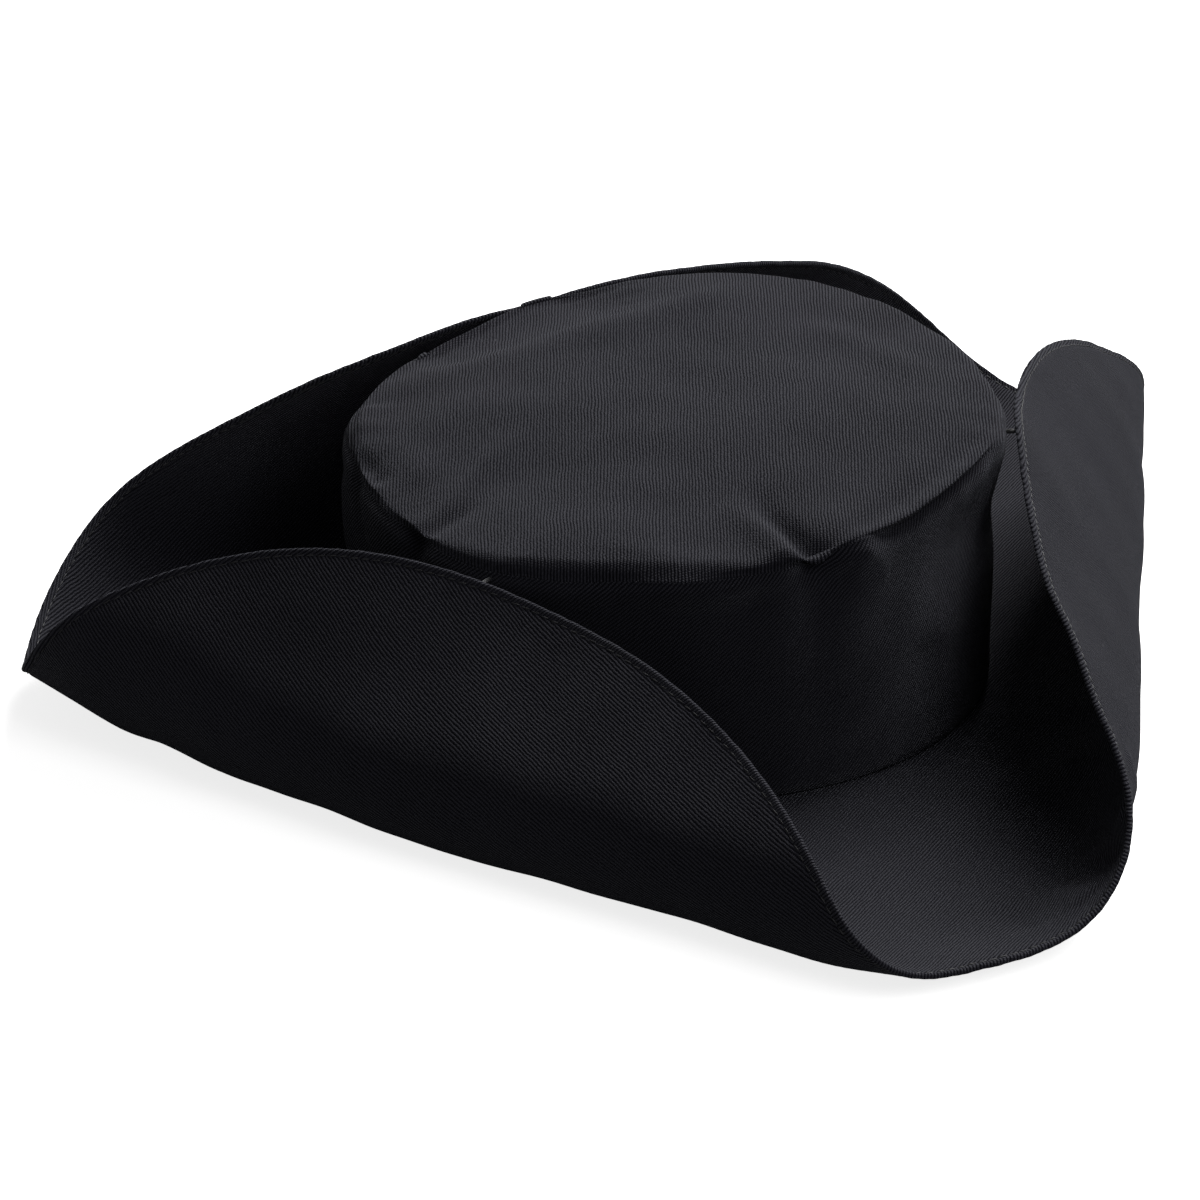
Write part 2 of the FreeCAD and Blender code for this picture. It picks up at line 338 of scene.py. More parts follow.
# ---------------------------------------------------------------------------- shader groups
class NodeBench:
    """Short ways to add and join nodes in one node tree."""

    def __init__(self, tree: bpy.types.NodeTree) -> None:
        """Keep the tree that nodes are added to."""
        self.tree = tree

    def add(self, kind: str, **settings: object) -> bpy.types.Node:
        """Add a node, with its settings by name."""
        node = self.tree.nodes.new(kind)
        for name, value in settings.items():
            setattr(node, name, value)
        return node

    def feed(self, target: bpy.types.NodeSocket, source: object) -> None:
        """Join a socket to a source, or set it where the source is a plain value."""
        if isinstance(source, bpy.types.NodeSocket):
            self.tree.links.new(source, target)
        else:
            target.default_value = source

    def math(self, operation: str, first: object, second: object = None,
             third: object = None) -> bpy.types.NodeSocket:
        """Add a Math node and return what it puts out."""
        node = self.add("ShaderNodeMath", operation=operation)
        for socket, source in zip(node.inputs, (first, second, third)):
            if source is not None:
                self.feed(socket, source)
        return node.outputs[0]

    def mix_color(self, factor: object, first: object, second: object) -> bpy.types.NodeSocket:
        """Add a colour Mix node and return what it puts out."""
        node = self.add("ShaderNodeMix", data_type="RGBA")
        self.feed(node.inputs["Factor"], factor)
        self.feed(node.inputs[6], first)
        self.feed(node.inputs[7], second)
        return node.outputs[2]

    def noise(self, vector: object, scale: float, detail: float = 2.0) -> bpy.types.NodeSocket:
        """Add a Noise texture and return its value, from about 0.3 to 0.7."""
        node = self.add("ShaderNodeTexNoise")
        self.feed(node.inputs["Vector"], vector)
        node.inputs["Scale"].default_value = scale
        node.inputs["Detail"].default_value = detail
        return node.outputs["Fac"]


def new_group(name: str, inputs: dict[str, str], outputs: dict[str, str]) -> tuple[NodeBench, dict, dict]:
    """Start a shader node group.

    Args:
        name: Name of the group.
        inputs: Socket type of each named input.
        outputs: Socket type of each named output.

    Returns:
        A bench on the group, its inputs' sockets by name and its outputs' sockets by name.
    """
    tree = bpy.data.node_groups.new(name, "ShaderNodeTree")
    for label, kind in inputs.items():
        tree.interface.new_socket(label, in_out="INPUT", socket_type=kind)
    for label, kind in outputs.items():
        tree.interface.new_socket(label, in_out="OUTPUT", socket_type=kind)
    bench = NodeBench(tree)
    entry, leave = bench.add("NodeGroupInput"), bench.add("NodeGroupOutput")
    return bench, dict(entry.outputs.items()), dict(leave.inputs.items())


class ClothGroups:
    """The effects that several finishes share, each a node group built once."""

    def __init__(self) -> None:
        """Build every group."""
        self.twill = self._twill()
        self.tabby = self._tabby()
        self.handling = self._handling()

    @staticmethod
    def _twill() -> bpy.types.NodeTree:
        """Slanted ribs: half a cosine across each rib, broken along it by its yarns.

        Returns:
            A group that puts out the cloth's height and how high on its rib a place is.
        """
        bench, given, out = new_group(
            "TwillWeave", {"Vector": "NodeSocketVector", "Pitch": "NodeSocketFloat"},
            {"Height": "NodeSocketFloat", "Rib": "NodeSocketFloat"})
        parts = bench.add("ShaderNodeSeparateXYZ")
        bench.feed(parts.inputs[0], given["Vector"])
        drift = bench.math("MULTIPLY", bench.math("SUBTRACT", bench.noise(given["Vector"], 70.0), 0.5), 1.6)
        jitter = bench.math("MULTIPLY", bench.math("SUBTRACT", bench.noise(given["Vector"], 900.0), 0.5), 0.5)
        across = bench.math("DIVIDE", parts.outputs[0], given["Pitch"])
        place = bench.math("ADD", bench.math("ADD", across, drift), jitter)
        wave = bench.math("COSINE", bench.math("MULTIPLY", place, 2.0 * math.pi))
        rib = bench.math("POWER", bench.math("MULTIPLY_ADD", wave, -0.5, 0.5), 0.75)
        along = bench.math("DIVIDE", parts.outputs[1], bench.math("MULTIPLY", given["Pitch"], 0.62))
        step = bench.math("MULTIPLY", bench.math("FLOOR", place), 0.37)
        beat = bench.math("COSINE", bench.math("MULTIPLY", bench.math("ADD", along, step), 2.0 * math.pi))
        yarn = bench.math("MULTIPLY_ADD", beat, 0.14, 0.86)
        bench.feed(out["Height"], bench.math("MULTIPLY", rib, yarn))
        bench.feed(out["Rib"], rib)
        return bench.tree

    @staticmethod
    def _tabby() -> bpy.types.NodeTree:
        """Plain weave: over and under in squares, one wave times the other.

        Returns:
            A group that puts out the cloth's height.
        """
        bench, given, out = new_group(
            "TabbyWeave", {"Vector": "NodeSocketVector", "Pitch": "NodeSocketFloat"},
            {"Height": "NodeSocketFloat"})
        parts = bench.add("ShaderNodeSeparateXYZ")
        bench.feed(parts.inputs[0], given["Vector"])
        wander = bench.math("MULTIPLY", bench.noise(given["Vector"], 260.0), 1.2)
        waves = []
        for socket in parts.outputs[:2]:
            turns = bench.math("ADD", bench.math("DIVIDE", socket, given["Pitch"]), wander)
            waves.append(bench.math("SINE", bench.math("MULTIPLY", turns, 2.0 * math.pi)))
        product = bench.math("MULTIPLY", waves[0], waves[1])
        bench.feed(out["Height"], bench.math("MULTIPLY_ADD", product, 0.5, 0.5))
        return bench.tree

    @staticmethod
    def _handling() -> bpy.types.NodeTree:
        """Marks of handling: cloudy rubbing, fine nap and a few light specks of lint.

        Returns:
            A group that puts out masks for the rubbing, the nap and the lint.
        """
        bench, given, out = new_group(
            "HandlingMarks", {"Vector": "NodeSocketVector", "Lint": "NodeSocketFloat"},
            {"Rubbed": "NodeSocketFloat", "Nap": "NodeSocketFloat", "Lint": "NodeSocketFloat"})
        cloud = bench.math("MULTIPLY_ADD", bench.noise(given["Vector"], 22.0, 3.0), 2.6, -0.8)
        nap = bench.math("MULTIPLY_ADD", bench.noise(given["Vector"], 1500.0, 1.0), 2.0, -0.5)
        cells = bench.add("ShaderNodeTexVoronoi")
        bench.feed(cells.inputs["Vector"], given["Vector"])
        cells.inputs["Scale"].default_value = 95.0
        near = bench.math("LESS_THAN", cells.outputs["Distance"], 0.028)
        tone = bench.add("ShaderNodeSeparateColor")
        bench.feed(tone.inputs[0], cells.outputs["Color"])
        rare = bench.math("LESS_THAN", tone.outputs[0], given["Lint"])
        for label, value in (("Rubbed", cloud), ("Nap", nap), ("Lint", bench.math("MULTIPLY", near, rare))):
            clamp = bench.add("ShaderNodeClamp")
            bench.feed(clamp.inputs[0], value)
            bench.feed(out[label], clamp.outputs[0])
        return bench.tree


class Weave(Enum):
    """How a finish's cloth is woven."""

    TWILL = "twill"
    TABBY = "tabby"


@dataclass(frozen=True)
class ClothFinish:
    """A dyed cloth: its colour on top of the yarns, a darker colour between them that is painted shade in the
    grooves, its weave and its sheen.
    """

    name: str
    top: tuple[float, float, float]
    groove_shade: tuple[float, float, float]
    weave: Weave = Weave.TWILL
    pitch: float = 0.93
    relief: float = 0.36
    roughness: float = 0.78
    sheen: float = 0.12
    sheen_spread: float = 0.40
    specular: float = 0.25
    lint: float = 0.05
    edge_wear: float = 0.0

    def material(self, groups: ClothGroups) -> bpy.types.Material:
        """Build the material.

        Args:
            groups: The shared node groups.

        Returns:
            A material whose weave follows the piece's own cloth coordinates.
        """
        made = bpy.data.materials.new(self.name)
        made.use_nodes = True
        bench = NodeBench(made.node_tree)
        shader = made.node_tree.nodes["Principled BSDF"]
        cloth = bench.add("ShaderNodeUVMap", uv_map=WEAVE_UV)
        place = bench.add("ShaderNodeTexCoord")
        weave = bench.add("ShaderNodeGroup")
        weave.node_tree = groups.twill if self.weave is Weave.TWILL else groups.tabby
        bench.feed(weave.inputs["Vector"], cloth.outputs["UV"])
        weave.inputs["Pitch"].default_value = self.pitch * MM
        marks = bench.add("ShaderNodeGroup")
        marks.node_tree = groups.handling
        bench.feed(marks.inputs["Vector"], place.outputs["Object"])
        marks.inputs["Lint"].default_value = self.lint
        height = weave.outputs["Height"]
        # Painted shade: the colour darkens towards the groove colour where the weave is low, standing in for
        # shade between the ribs.
        color = bench.mix_color(height, (*self.groove_shade, 1.0), (*self.top, 1.0))
        rubbed = tuple(1.30 * part for part in self.top)
        cloud = bench.math("MULTIPLY", marks.outputs["Rubbed"], 0.35)
        color = bench.mix_color(cloud, color, (*rubbed, 1.0))
        if self.edge_wear > 0.0:
            proud = bench.add("ShaderNodeAttribute", attribute_name=RIDGE)
            worn = bench.math("MULTIPLY", proud.outputs["Fac"], marks.outputs["Rubbed"])
            pale = tuple(2.1 * part for part in self.top)
            color = bench.mix_color(bench.math("MULTIPLY", worn, self.edge_wear), color, (*pale, 1.0))
        color = bench.mix_color(marks.outputs["Lint"], color, (0.12, 0.12, 0.13, 1.0))
        bench.feed(shader.inputs["Base Color"], color)
        rough = bench.math("MULTIPLY_ADD", marks.outputs["Nap"], 0.14, self.roughness - 0.07)
        bench.feed(shader.inputs["Roughness"], rough)
        bump = bench.add("ShaderNodeBump")
        bump.inputs["Distance"].default_value = self.relief * MM
        bump.inputs["Strength"].default_value = 1.0
        grainy = bench.math("MULTIPLY_ADD", marks.outputs["Nap"], 0.18, height)
        bench.feed(bump.inputs["Height"], grainy)
        bench.feed(shader.inputs["Normal"], bump.outputs["Normal"])
        # Painted shade of the gloss: specular and sheen grow with rib height, so the grooves between ribs
        # reflect less.
        groove_shaded_shine = bench.math("MULTIPLY_ADD", height, 1.5, 0.05)
        bench.feed(shader.inputs["Specular IOR Level"], bench.math("MULTIPLY", groove_shaded_shine, self.specular))
        bench.feed(shader.inputs["Sheen Weight"], bench.math("MULTIPLY", groove_shaded_shine, self.sheen))
        shader.inputs["Sheen Roughness"].default_value = self.sheen_spread
        shader.inputs["Sheen Tint"].default_value = (0.86, 0.88, 1.0, 1.0)
        shader.inputs["Specular Tint"].default_value = (0.86, 0.87, 1.0, 1.0)
        return made


@dataclass(frozen=True)
class ThreadFinish:
    """Spun sewing thread: a close twist round each stitch, with painted shade in the twist's grooves, and a
    slight gloss.
    """

    name: str
    color: tuple[float, float, float]
    twist: float = 0.35
    relief: float = 0.05

    def material(self, groups: ClothGroups) -> bpy.types.Material:
        """Build the material.

        Args:
            groups: The shared node groups.

        Returns:
            A material with fine ridges in object space.
        """
        made = bpy.data.materials.new(self.name)
        made.use_nodes = True
        bench = NodeBench(made.node_tree)
        shader = made.node_tree.nodes["Principled BSDF"]
        place = bench.add("ShaderNodeTexCoord")
        wave = bench.add("ShaderNodeTexWave", bands_direction="DIAGONAL")
        bench.feed(wave.inputs["Vector"], place.outputs["Object"])
        wave.inputs["Scale"].default_value = 1.0 / (self.twist * MM) / 20.0
        wave.inputs["Distortion"].default_value = 2.0
        marks = bench.add("ShaderNodeGroup")
        marks.node_tree = groups.handling
        bench.feed(marks.inputs["Vector"], place.outputs["Object"])
        marks.inputs["Lint"].default_value = 0.0
        # Painted shade: the thread is half as bright where its twist is low, standing in for shade in the
        # grooves.
        groove_shade = tuple(0.5 * part for part in self.color)
        color = bench.mix_color(wave.outputs["Fac"], (*groove_shade, 1.0), (*self.color, 1.0))
        bench.feed(shader.inputs["Base Color"], color)
        rough = bench.math("MULTIPLY_ADD", marks.outputs["Nap"], 0.2, 0.45)
        bench.feed(shader.inputs["Roughness"], rough)
        bump = bench.add("ShaderNodeBump")
        bump.inputs["Distance"].default_value = self.relief * MM
        bench.feed(bump.inputs["Height"], wave.outputs["Fac"])
        bench.feed(shader.inputs["Normal"], bump.outputs["Normal"])
        return made


@dataclass
class Wardrobe:
    """Every finish of the hat, built once and handed out by slot."""

    # Each cloth's second, darker colour is painted shade for the grooves between its ribs or yarns.
    finishes: dict[Slot, object] = field(default_factory=lambda: {
        Slot.TWILL: ClothFinish("black_twill", top=(0.0112, 0.0108, 0.0152), groove_shade=(0.0019, 0.0018, 0.0030)),
        Slot.HEM: ClothFinish("black_twill_hem", top=(0.0112, 0.0108, 0.0152), groove_shade=(0.0019, 0.0018, 0.0030),
                              edge_wear=0.5),
        Slot.LINING: ClothFinish("black_lining", top=(0.010, 0.010, 0.012), groove_shade=(0.004, 0.004, 0.005),
                                 weave=Weave.TABBY, pitch=0.45, relief=0.05, roughness=0.5,
                                 sheen=0.1, specular=0.45, lint=0.02),
        Slot.BAND: ClothFinish("black_headband", top=(0.013, 0.013, 0.015), groove_shade=(0.004, 0.004, 0.005),
                               weave=Weave.TABBY, pitch=0.9, relief=0.14, roughness=0.8, lint=0.03),
        Slot.THREAD: ThreadFinish("black_thread", color=(0.016, 0.016, 0.019)),
    })
    made: dict[Slot, bpy.types.Material] = field(default_factory=dict)

    def build(self) -> None:
        """Build every material from its finish."""
        groups = ClothGroups()
        self.made = {slot: finish.material(groups) for slot, finish in self.finishes.items()}

    def dress(self, piece: bpy.types.Object, slot: Slot) -> None:
        """Put the finish of a slot on a piece."""
        piece.data.materials.append(self.made[slot])


# ---------------------------------------------------------------------------- shape of the hat
@dataclass(frozen=True)
class Sag:
    """Unevenness over a cloth: its height, the mean length of its waves, and its seed."""

    height: float
    length: float
    seed: int

    def over(self, x: Array, y: Array) -> Array:
        """Height at places on the cloth."""
        return self.height * soft_noise(x, y, self.length, self.seed)


@dataclass(frozen=True)
class Pucker:
    """Unevenness along a seam: its height, its fewest and most waves round, seed and reach."""

    height: float
    lowest: int
    highest: int
    seed: int
    reach: float = 1.0

    def beside(self, angle: Array, away: Array | float = 0.0) -> Array:
        """Height at angles round the seam, dying away with the distance from it."""
        noise = ring_noise(angle, self.lowest, self.highest, self.seed)
        return self.height * noise * np.exp(-away / self.reach)


@dataclass(frozen=True)
class Hollow:
    """Where the crown's side is drawn in, at an azimuth and a height, each with its spread."""

    azimuth: float
    spread: float
    z: float
    reach: float
    depth: float

    def depth_at(self, angle: Array, z: Array) -> Array:
        """How far the side is drawn in at angles and heights."""
        around = bell(turn_between(angle, self.azimuth), self.spread)
        return self.depth * around * bell(z - self.z, self.reach)


@dataclass(frozen=True)
class Fold:
    """A straight chord about which the flat brim turns up, its angle rising smoothly."""

    azimuth: float
    chord: float
    length: float
    turn: float

    def heading(self) -> tuple[float, float]:
        """Direction of the fold, outwards from the brim's middle."""
        turn = math.radians(self.azimuth)
        return math.cos(turn), math.sin(turn)

    def reach(self, past: Array) -> tuple[Array, Array]:
        """How far a strip has come out and up: the running sums of its angle's cosine and sine.

        Args:
            past: Distance along the cloth past the chord.

        Returns:
            Distance outwards and distance upwards.
        """
        along = np.arange(0.0, CURL_REACH, CURL_STEP)
        angle = math.radians(self.turn) * smooth((along + CURL_STEP / 2.0) / self.length)
        out = np.concatenate([[0.0], np.cumsum(np.cos(angle)) * CURL_STEP])
        up = np.concatenate([[0.0], np.cumsum(np.sin(angle)) * CURL_STEP])
        marks = np.arange(len(out)) * CURL_STEP
        return np.interp(past, marks, out), np.interp(past, marks, up)


@dataclass(frozen=True)
class Crease:
    """A soft line in the cloth, a ridge where its height is above 0 and a valley below 0."""

    line: tuple[tuple[float, float], ...]
    width: float
    height: float
    fade_in: float = 0.3
    fade_out: float = 0.3

    def lift(self, x: Array, y: Array) -> Array:
        """Height at places: a bell of the distance to the line, dying away at its ends.

        Args:
            x: First coordinate of each place.
            y: Second coordinate of each place.

        Returns:
            Height of the cloth there.
        """
        nearest = np.full(x.shape, np.inf)
        share = np.zeros(x.shape)
        spans = [math.dist(start, end) for start, end in zip(self.line, self.line[1:])]
        done = 0.0
        for (x0, y0), (x1, y1), span in zip(self.line, self.line[1:], spans):
            part = np.clip(((x - x0) * (x1 - x0) + (y - y0) * (y1 - y0)) / span ** 2, 0.0, 1.0)
            gap = np.hypot(x - x0 - part * (x1 - x0), y - y0 - part * (y1 - y0))
            closer = gap < nearest
            share = np.where(closer, (done + part * span) / sum(spans), share)
            nearest = np.where(closer, gap, nearest)
            done += span
        rise = smooth(share / self.fade_in) if self.fade_in else 1.0
        fall = smooth((1.0 - share) / self.fade_out) if self.fade_out else 1.0
        return self.height * bell(nearest, self.width) * rise * fall


@dataclass(frozen=True)
class SeamPull:
    """Where the tip seam is drawn in, let out or lifted, at an azimuth with a spread."""

    azimuth: float
    spread: float
    outwards: float
    upwards: float


@dataclass(frozen=True)
class BrimPattern:
    """The brim's flat cut, its folds and its small unevenness."""

    half_width: float = 196.2
    half_length: float = 226.2
    centre: tuple[float, float] = (-13.9, -5.4)
    crown_half_width: float = 95.0
    crown_half_length: float = 94.0
    middle_z: float = 1.6
    half_stack: float = 1.25
    edge_half: float = 0.78
    thinning: float = 14.0
    clearance: float = 0.3
    right_tack: tuple[float, float] = (-192.1, -100.1)
    tack_lift: float = 4.0
    tack_reach: float = 24.0
    held_width: float = 16.0
    seam_width: float = 4.0
    sags: tuple[Sag, ...] = (Sag(0.55, 95.0, 3), Sag(0.15, 30.0, 4))
    gathers: Pucker = Pucker(0.30, 24, 52, 5, 13.0)
    frills: Pucker = Pucker(0.06, 60, 150, 6, 5.0)
    sway: Pucker = Pucker(0.18, 9, 26, 7, 26.0)
    folds: tuple[Fold, ...] = (
        Fold(88.9, 125.3, 61.3, 138.2),
        Fold(-153.0, 90.8, 70.3, 129.8),
        Fold(-24.0, 76.0, 112.8, 127.5),
        Fold(46.2, 125.0, 70.0, 17.8),
        Fold(159.0, 125.0, 70.0, 7.0),
    )
    creases: tuple[Crease, ...] = (
        Crease(((-196.0, 52.0), (-172.0, 50.0)), 5.0, 1.5, 0.1, 0.6),
        Crease(((-193.0, 66.0), (-170.0, 60.0)), 4.5, -1.4, 0.1, 0.6),
        Crease(((-186.0, 81.0), (-164.0, 72.0)), 5.0, 1.3, 0.1, 0.6),
        Crease(((-199.0, 36.0), (-178.0, 37.0)), 4.5, -1.1, 0.1, 0.6),
        Crease(((-176.0, 97.0), (-158.0, 84.0)), 6.0, -1.0, 0.1, 0.6),
        Crease(((-130.0, -40.0), (-116.0, -12.0), (-118.0, 18.0)), 9.0, -1.4),
        Crease(((-150.0, -30.0), (-134.0, 4.0), (-136.0, 34.0)), 10.0, 1.2),
        Crease(((60.0, 150.0), (100.0, 128.0)), 12.0, 1.2),
    )

    def flat(self, angle: Array, share: Array, inset_in: float, inset_out: float) -> tuple[Array, Array]:
        """Place on the flat cut, straight from the crown's oval to the brim's oval.

        Args:
            angle: Angle round the hat in radians.
            share: 0 at the inner edge and 1 at the outer edge; it may run past both.
            inset_in: Distance of the inner edge inside the crown's outline.
            inset_out: Distance of the outer edge inside the cut's outline.

        Returns:
            x and y on the flat cloth.
        """
        inner = oval(angle, self.crown_half_width, self.crown_half_length) - inset_in
        outer = oval(angle, self.half_width, self.half_length) - inset_out
        cosine, sine = np.cos(angle), np.sin(angle)
        in_x, in_y = inner * cosine, inner * sine
        out_x, out_y = self.centre[0] + outer * cosine, self.centre[1] + outer * sine
        return in_x + (out_x - in_x) * share, in_y + (out_y - in_y) * share

    def folded(self, x: Array, y: Array) -> Array:
        """Flat places moved onto the folded middle surface, each fold adding its own shift."""
        from_x, from_y = x - self.centre[0], y - self.centre[1]
        place = np.stack([x, y, np.full(x.shape, self.middle_z)], axis=-1)
        for fold in self.folds:
            cosine, sine = fold.heading()
            past = np.maximum(from_x * cosine + from_y * sine - fold.chord, 0.0)
            out, up = fold.reach(past)
            place = place + np.stack([(out - past) * cosine, (out - past) * sine, up], axis=-1)
        return place

    def unevenness(self, x: Array, y: Array, angle: Array) -> Array:
        """Height of the cloth's small waves: broad sag, creases, and puckers at both edges.

        Args:
            x: Flat place across.
            y: Flat place front to back.
            angle: Angle round the hat.

        Returns:
            Distance to move along the surface's normal.
        """
        inner = np.hypot(x, y) - oval(angle, self.crown_half_width, self.crown_half_length)
        outer_x, outer_y = self.flat(angle, np.ones(angle.shape), 0.0, 0.0)
        outer = np.hypot(outer_x - x, outer_y - y)
        free = smooth(inner / self.held_width)
        wave = free * sum(sag.over(x, y) for sag in self.sags)
        wave += free * sum(crease.lift(x, y) for crease in self.creases)
        gathers = self.gathers.beside(angle, np.maximum(inner, 0.0)) * smooth(inner / self.seam_width)
        return wave + gathers + self.frills.beside(angle, outer) + self.sway.beside(angle, outer)

    def half_thickness(self, from_edge: Array) -> Array:
        """Half the brim's thickness, which thins smoothly towards the stitched edge."""
        return self.edge_half + (self.half_stack - self.edge_half) * smooth(from_edge / self.thinning)

    def surface(self, angle: Array, share: Array, inset_in: float, inset_out: float) -> dict[str, Array]:
        """Uneven folded middle surface with its directions.

        The directions come from small differences of the smooth surface. The unevenness is added
        along the normal, and its hollows level out where they come down to the ground. The tack
        of the right flap draws the cloth round it up towards the tip seam.

        Args:
            angle: Angles round the hat.
            share: Shares from the inner to the outer edge.
            inset_in: Inset of the inner edge.
            inset_out: Inset of the outer edge.

        Returns:
            point, side (outwards in the cloth), along (to the left) and normal (up), with the
            flat places x and y.
        """
        step = 1e-3
        angle, share = np.broadcast_arrays(angle, share)

        def at(turn: Array, part: Array) -> Array:
            """Smooth surface at shifted angles and shares."""
            return self.folded(*self.flat(turn, part, inset_in, inset_out))

        outward = at(angle, share + step) - at(angle, share - step)
        along = unit(at(angle + step, share) - at(angle - step, share))
        normal = unit(np.cross(outward, along))
        x, y = self.flat(angle, share, inset_in, inset_out)
        point = self.folded(x, y)
        wave = self.unevenness(x, y, angle)
        room = point[..., 2] - self.middle_z + self.clearance
        wave = np.where(wave < 0.0, room * np.tanh(wave / room), wave)
        point = point + normal * wave[..., None]
        drawn = np.hypot(x - self.right_tack[0], y - self.right_tack[1])
        point[..., 2] += self.tack_lift * bell(drawn, self.tack_reach)
        return {"point": point, "side": unit(np.cross(along, normal)), "along": along,
                "normal": normal, "x": x, "y": y}


@dataclass(frozen=True)
class CrownForm:
    """The crown's outside: an oval wall under a tilted, slightly domed tip with pinched seams."""

    half_width: float = 95.0
    half_length: float = 94.0
    height: float = 82.5
    tilt: float = 10.0
    high_side: float = -82.0
    dome: float = 6.0
    foot_z: float = 1.6
    pulls: tuple[tuple[float, float, float], ...] = (
        (-13.0, 28.0, -8.0),
        (-153.0, 16.0, 3.0),
        (90.0, 18.0, 5.0),
    )
    seam_out: Pucker = Pucker(0.40, 5, 26, 11)
    seam_up: Pucker = Pucker(0.45, 4, 22, 12)
    waist: Hollow = Hollow(-166.0, 26.0, 58.0, 15.0, 4.2)
    seam_pulls: tuple[SeamPull, ...] = (
        SeamPull(147.5, 4.5, -4.2, -1.6),
        SeamPull(156.5, 5.0, 1.2, 1.8),
        SeamPull(177.0, 15.0, -6.0, 1.0),
        SeamPull(73.0, 3.5, -2.6, -1.0),
        SeamPull(30.0, 10.0, 2.0, 0.4),
        SeamPull(46.0, 4.0, -1.8, -1.0),
        SeamPull(-157.0, 4.0, 1.8, -0.8),
        SeamPull(118.0, 14.0, 1.0, 0.4),
        SeamPull(-60.0, 9.0, 1.0, -0.6),
        SeamPull(-44.0, 15.0, 0.0, -1.2),
    )
    tip_creases: tuple[Crease, ...] = (
        Crease(((-81.0, 51.0), (-85.0, 20.0), (-87.0, -5.0), (-86.0, -36.0)), 4.2, -1.2, 0.0, 0.2),
        Crease(((-84.0, 49.0), (-73.0, 47.5), (-57.0, 40.0), (-44.0, 28.0)), 3.6, -3.2, 0.0, 0.7),
        Crease(((-79.0, 58.0), (-66.0, 52.0), (-50.0, 45.0), (-38.0, 36.0)), 4.6, 2.0, 0.1, 0.7),
        Crease(((-70.0, 62.0), (-48.0, 74.0), (-20.0, 82.0)), 5.5, 0.9),
        Crease(((29.0, 92.0), (27.0, 78.0), (29.0, 51.0), (28.0, 30.0)), 4.6, 1.1, 0.1, 0.5),
        Crease(((25.0, 92.0), (21.0, 80.0), (18.0, 70.0)), 3.2, -1.2, 0.0, 0.5),
        Crease(((76.0, 57.0), (82.0, 36.0)), 7.0, 1.8),
        Crease(((71.0, 63.0), (60.0, 68.0), (50.0, 76.0)), 3.6, -2.2, 0.0, 0.3),
        Crease(((64.0, 52.0), (50.0, 62.0), (38.0, 72.0)), 5.5, 1.0),
        Crease(((83.0, 36.0), (69.0, 10.0), (54.0, -10.0), (42.0, -31.0), (27.0, -61.0), (18.0, -84.0)),
               9.0, 1.9, 0.1, 0.2),
        Crease(((88.0, 12.0), (72.0, -20.0), (60.0, -48.0), (44.0, -76.0)), 17.0, -3.6, 0.2, 0.3),
        Crease(((-4.0, -63.0), (-28.0, -60.0), (-60.0, -51.0)), 6.5, 1.3),
        Crease(((48.0, -52.0), (54.0, -66.0)), 5.0, -0.5),
        Crease(((-20.0, 10.0), (10.0, -20.0), (20.0, -50.0)), 22.0, -0.9),
    )
    wall_creases: tuple[Crease, ...] = (
        Crease(((147.0, 0.0), (152.0, 8.0), (158.0, 18.0)), 4.5, -2.0, 0.0, 0.6),
        Crease(((146.0, 2.0), (136.0, 7.0), (124.0, 10.0)), 4.5, -1.0, 0.0, 0.6),
        Crease(((155.0, 3.0), (164.0, 14.0)), 5.5, 1.0),
        Crease(((73.0, 0.0), (71.0, 12.0)), 3.6, -1.4, 0.0, 0.6),
        Crease(((46.0, 0.0), (50.0, 14.0), (57.0, 30.0)), 5.0, -1.8, 0.0, 0.5),
        Crease(((34.0, 6.0), (37.0, 40.0)), 9.0, 1.6),
        Crease(((-157.0, 2.0), (-166.0, 16.0), (-176.0, 30.0)), 6.0, -1.2, 0.0, 0.5),
        Crease(((100.0, 66.0), (118.0, 50.0), (136.0, 42.0)), 11.0, -1.2),
        Crease(((172.0, 62.0), (176.0, 40.0)), 8.0, -1.2),
        Crease(((-100.0, 0.0), (-92.0, 24.0)), 6.0, -1.2, 0.0, 0.5),
    )

    def seam_shift(self, angle: Array) -> tuple[Array, Array]:
        """Movement of the tip seam outwards and upwards, a bell for each pull and fine puckers."""
        out, up = self.seam_out.beside(angle), self.seam_up.beside(angle)
        for pull in self.seam_pulls:
            share = bell(turn_between(angle, pull.azimuth), pull.spread)
            out = out + pull.outwards * share
            up = up + pull.upwards * share
        return out, up

    def tip_height(self, angle: Array, share: Array) -> Array:
        """Height of the smooth tip: a tilt that grows outwards, and a low dome."""
        lean = self.tilt * share * np.cos(angle - math.radians(self.high_side))
        return self.height + lean + self.dome * (1.0 - share ** 2.5)

    def radius(self, angle: Array, z: Array) -> Array:
        """Radius of the smooth wall: its oval, drawn in or out by the pulls towards the top."""
        rise = smooth((z - self.foot_z) / (self.tip_height(angle, np.ones(angle.shape)) - self.foot_z))
        total = oval(angle, self.half_width, self.half_length)
        for azimuth, spread, movement in self.pulls:
            total = total + rise * movement * bell(turn_between(angle, azimuth), spread)
        return total


